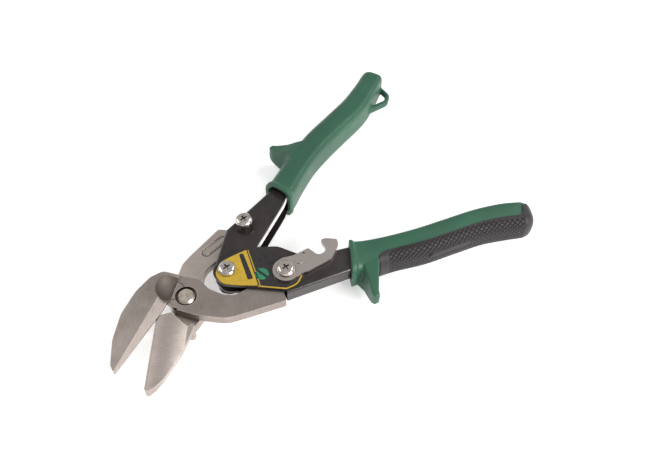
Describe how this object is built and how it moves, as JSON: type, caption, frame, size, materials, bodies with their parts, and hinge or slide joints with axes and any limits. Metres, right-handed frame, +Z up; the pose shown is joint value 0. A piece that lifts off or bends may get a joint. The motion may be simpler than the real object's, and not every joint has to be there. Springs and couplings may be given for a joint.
{
  "type": "aviation snips",
  "caption": "Offset compound-action aviation snips with crossing jaws, pressed steel handles, moulded grips, a closing latch and a hanging loop.",
  "frame": {"origin": "centre of the bottom face of the blade bolt's nut, on the surface that the tool lies on", "axes": "+Z up along every pivot axis, +X from the blade bolt towards the handle ends, +Y towards the handle that carries the hanging loop"},
  "size_m": [0.2246, 0.1405, 0.022],
  "materials": {
    "coated_steel": "gloss",
    "blade_steel": "satin",
    "screw_steel": "polished",
    "latch_steel": "satin",
    "spring_steel": "satin",
    "grip_green": "satin",
    "grip_rubber": "matte",
    "label_film": "gloss"
  },
  "bodies": {
    "lower_handle": {"lower_handle_channel": "coated_steel", "lower_grip": "grip_green", "lower_grip_rubber": "grip_rubber", "handle_hinge_screw": "screw_steel", "handle_hinge_nut": "screw_steel", "handle_hinge_spacer": "screw_steel", "latch_screw": "screw_steel", "latch_screw_nut": "screw_steel", "latch_washer": "screw_steel", "head_label": "label_film", "return_spring": "spring_steel"},
    "upper_handle": {"upper_handle_channel": "coated_steel", "upper_grip": "grip_green", "upper_grip_rubber": "grip_rubber", "upper_handle_screw": "screw_steel", "upper_handle_nut": "screw_steel", "upper_tail_spacer": "screw_steel"},
    "left_blade": {"left_blade": "blade_steel", "main_pivot_bolt": "screw_steel", "main_pivot_washer": "screw_steel", "main_pivot_nut": "screw_steel"},
    "right_blade": {"right_blade": "blade_steel"},
    "latch": {"latch": "latch_steel"}
  },
  "joints": [
    {"name": "handle_hinge", "type": "hinge", "parent": "lower_handle", "child": "upper_handle", "pos_m": [0.0243, 0, 0.0105], "axis": [0, 0, 1], "range_deg": [-37.2, 0], "stiffness_Nm_per_rad": 0.35, "springref_deg": 20.05},
    {"name": "lower_tail_pivot", "type": "hinge", "parent": "lower_handle", "child": "left_blade", "pos_m": [0.0474, -0.0189, 0.0105], "axis": [0, 0, 1], "range_deg": [-8.9, 0.1]},
    {"name": "blade_pivot", "type": "hinge", "parent": "left_blade", "child": "right_blade", "pos_m": [0, 0, 0.0105], "axis": [0, 0, 1], "range_deg": [-19.8, 0.1]},
    {"name": "latch_pivot", "type": "hinge", "parent": "lower_handle", "child": "latch", "pos_m": [0.0474, -0.0189, 0.0188], "axis": [0, 0, 1], "range_deg": [0, 70.9]}
  ],
  "couplings": [
    {"joint": "lower_tail_pivot", "follows": "handle_hinge", "ratio": 0.2363},
    {"joint": "blade_pivot", "follows": "handle_hinge", "ratio": 0.5274}
  ]
}
